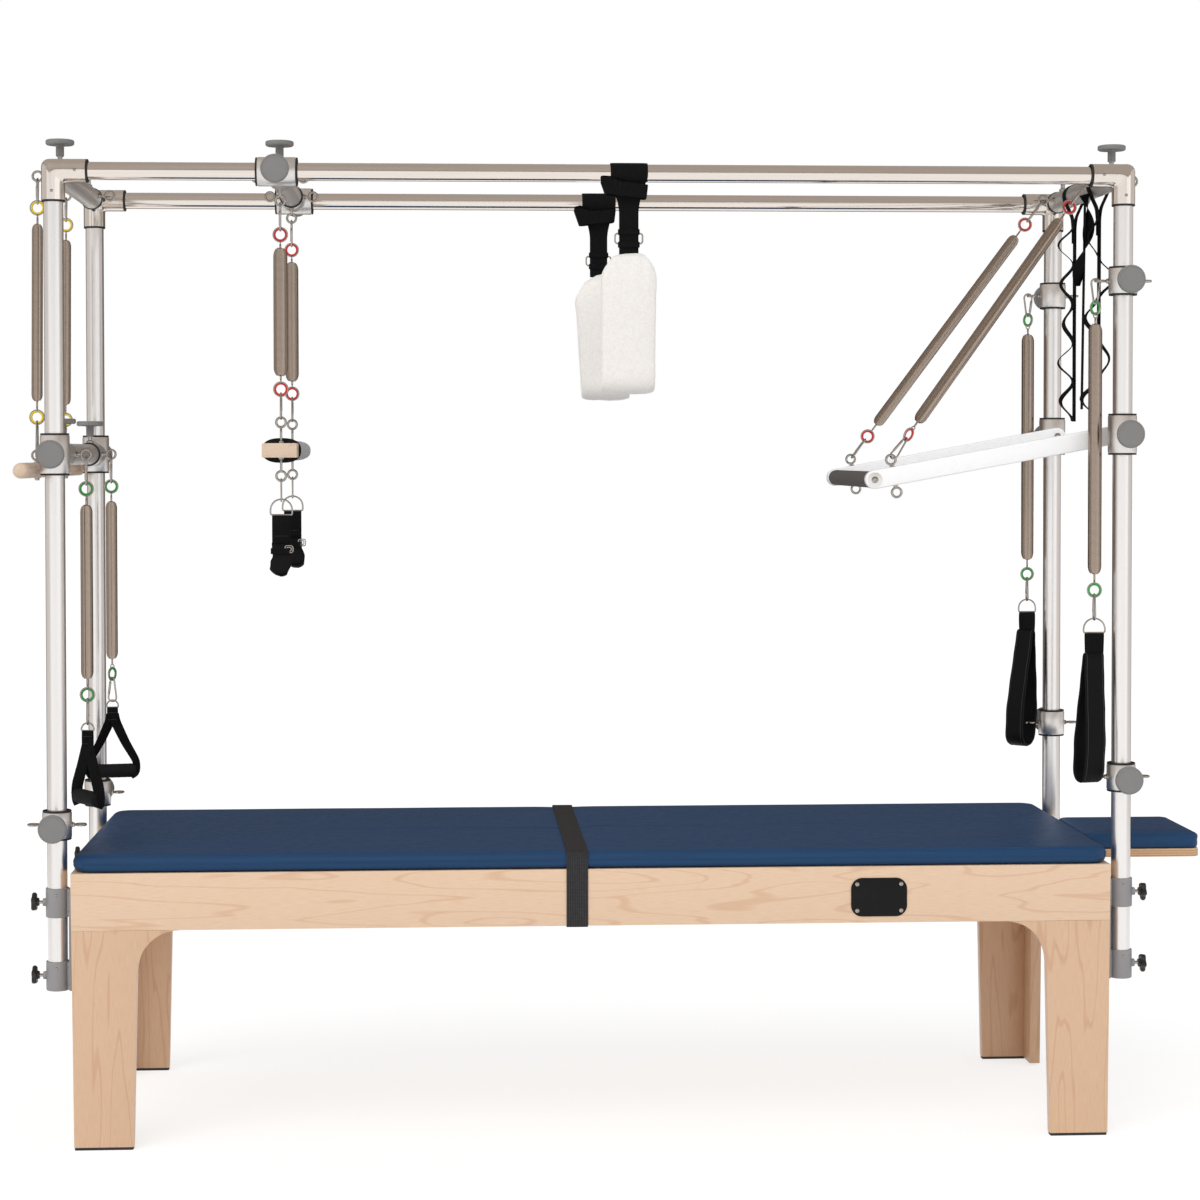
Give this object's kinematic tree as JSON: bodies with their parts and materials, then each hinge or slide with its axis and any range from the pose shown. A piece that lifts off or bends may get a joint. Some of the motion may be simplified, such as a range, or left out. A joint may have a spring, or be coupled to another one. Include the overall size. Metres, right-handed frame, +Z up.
{
  "type": "pilates trapeze table",
  "caption": "Padded wooden exercise table under a steel tube canopy, with a sliding trapeze, sprung push-through bar, roll-down bar, adjustable clamps, springs, loops and fleece slings.",
  "frame": {"origin": "middle of the whole object's box, on the floor", "axes": "+X along the table towards the head rest and push-through bar, +Y away from the side with the front plate, +Z up"},
  "size_m": [2.592, 0.9, 2.155],
  "materials": {
    "maple": "clear satin lacquer on pale maple",
    "plywood": "plain plywood",
    "vinyl": "dark blue upholstery vinyl",
    "webbing": "black woven webbing",
    "black": "black painted plate",
    "grey": "grey satin paint",
    "aluminium": "satin anodised tube",
    "chrome": "polished stainless tube",
    "cast": "satin cast fitting",
    "white": "white gloss powder coat",
    "foam": "black foam grip",
    "steel": "spring wire",
    "beech": "pale turned wood",
    "fleece": "white fleece"
  },
  "bodies": {
    "frame": {"side_board_front": "maple", "side_board_rear": "maple", "end_board_left": "maple", "end_board_right": "maple", "deck": "plywood", "headrest_board": "plywood", "mat_pad": "vinyl", "headrest_pad": "vinyl", "belt_strap": "webbing", "front_plate": "black", "headrest_bracket": "grey", "bracket_front_left": "grey", "post_front_left": "aluminium", "corner_front_left": "chrome", "bracket_front_right": "grey", "post_front_right": "aluminium", "corner_front_right": "chrome", "rail_front": "chrome", "push_clamp_front": "cast", "push_spring_front": "steel", "bracket_rear_left": "grey", "post_rear_left": "aluminium", "corner_rear_left": "chrome", "bracket_rear_right": "grey", "post_rear_right": "aluminium", "corner_rear_right": "chrome", "rail_rear": "chrome", "push_clamp_rear": "cast", "push_spring_rear": "steel", "top_bar_left": "aluminium", "top_bar_right": "aluminium"},
    "carriage": {"carriage_clamp_front": "cast", "carriage_clamp_rear": "cast", "carriage_tube": "aluminium"},
    "trapeze": {"trapeze_bar": "beech", "trapeze_spring_front": "steel", "trapeze_spring_rear": "steel"},
    "push_bar": {"push_bar": "white", "push_bar_grip": "foam"},
    "mid_bar": {"mid_bar_tube": "aluminium", "mid_bar_clamp_front": "cast", "mid_bar_clamp_rear": "cast"},
    "roll_bar": {"roll_bar": "beech", "roll_spring_front": "steel", "roll_spring_rear": "steel"},
    "hand_loop_front": {"hand_spring_front": "steel"},
    "low_left_collar_front": {"low_left_clamp_front": "cast"},
    "high_right_collar_front": {"high_right_clamp_front": "cast"},
    "foot_loop_front": {"foot_spring_front": "steel"},
    "low_right_collar_front": {"low_right_clamp_front": "cast"},
    "sling_front": {"sling_front": "fleece"},
    "safety_strap_front": {"safety_strap_front": "webbing"},
    "hand_loop_rear": {"hand_spring_rear": "steel"},
    "low_left_collar_rear": {"low_left_clamp_rear": "cast"},
    "high_right_collar_rear": {"high_right_clamp_rear": "cast"},
    "foot_loop_rear": {"foot_spring_rear": "steel"},
    "low_right_collar_rear": {"low_right_clamp_rear": "cast"},
    "sling_rear": {"sling_rear": "fleece"},
    "safety_strap_rear": {"safety_strap_rear": "webbing"}
  },
  "joints": [
    {"name": "carriage_slide", "type": "slide", "parent": "frame", "child": "carriage", "axis": [1, 0, 0], "range_m": [-0.07, 0.51]},
    {"name": "trapeze_swing", "type": "hinge", "parent": "carriage", "child": "trapeze", "pos_m": [-0.7545, 0, 2.023], "axis": [0, -1, 0], "range_deg": [-26, 35]},
    {"name": "push_bar_swing", "type": "hinge", "parent": "frame", "child": "push_bar", "pos_m": [1.0655, 0, 1.515], "axis": [0, 1, 0], "range_deg": [-50, 30], "stiffness_Nm_per_rad": 120, "springref_deg": 14.32, "deforming": ["push_spring_front", "push_spring_rear"]},
    {"name": "mid_bar_slide", "type": "slide", "parent": "frame", "child": "mid_bar", "axis": [0, 0, 1], "range_m": [-0.04, 0.38]},
    {"name": "roll_bar_swing", "type": "hinge", "parent": "frame", "child": "roll_bar", "pos_m": [-1.2745, 0, 2.073], "axis": [0, 1, 0], "range_deg": [0, 50]},
    {"name": "hand_loop_swing_front", "type": "hinge", "parent": "mid_bar", "child": "hand_loop_front", "pos_m": [-1.1745, -0.215, 1.474], "axis": [0, -1, 0], "range_deg": [-30, 30]},
    {"name": "low_left_slide_front", "type": "slide", "parent": "frame", "child": "low_left_collar_front", "axis": [0, 0, 1], "range_m": [-0.05, 0.3]},
    {"name": "high_right_slide_front", "type": "slide", "parent": "frame", "child": "high_right_collar_front", "axis": [0, 0, 1], "range_m": [0, 0.1]},
    {"name": "foot_loop_swing_front", "type": "hinge", "parent": "high_right_collar_front", "child": "foot_loop_front", "pos_m": [1.0055, -0.33, 1.846], "axis": [0, 1, 0], "range_deg": [0, 35]},
    {"name": "low_right_slide_front", "type": "slide", "parent": "frame", "child": "low_right_collar_front", "axis": [0, 0, 1], "range_m": [-0.1, 0]},
    {"name": "sling_swing_front", "type": "hinge", "parent": "frame", "child": "sling_front", "pos_m": [0, -0.33, 2.073], "axis": [1, 0, 0], "range_deg": [-30, 30]},
    {"name": "safety_strap_swing_front", "type": "hinge", "parent": "frame", "child": "safety_strap_front", "pos_m": [1.0655, -0.115, 2.073], "axis": [0, 1, 0], "range_deg": [-25, 25]},
    {"name": "hand_loop_swing_rear", "type": "hinge", "parent": "mid_bar", "child": "hand_loop_rear", "pos_m": [-1.1745, 0.215, 1.474], "axis": [0, -1, 0], "range_deg": [-30, 30]},
    {"name": "low_left_slide_rear", "type": "slide", "parent": "frame", "child": "low_left_collar_rear", "axis": [0, 0, 1], "range_m": [-0.04, 0.3]},
    {"name": "high_right_slide_rear", "type": "slide", "parent": "frame", "child": "high_right_collar_rear", "axis": [0, 0, 1], "range_m": [0, 0.1]},
    {"name": "foot_loop_swing_rear", "type": "hinge", "parent": "high_right_collar_rear", "child": "foot_loop_rear", "pos_m": [1.0055, 0.33, 1.853], "axis": [0, 1, 0], "range_deg": [0, 35]},
    {"name": "low_right_slide_rear", "type": "slide", "parent": "frame", "child": "low_right_collar_rear", "axis": [0, 0, 1], "range_m": [-0.1, 0]},
    {"name": "sling_swing_rear", "type": "hinge", "parent": "frame", "child": "sling_rear", "pos_m": [0, 0.33, 2.073], "axis": [1, 0, 0], "range_deg": [-30, 30]},
    {"name": "safety_strap_swing_rear", "type": "hinge", "parent": "frame", "child": "safety_strap_rear", "pos_m": [1.0655, 0.115, 2.073], "axis": [0, 1, 0], "range_deg": [-25, 25]}
  ]
}
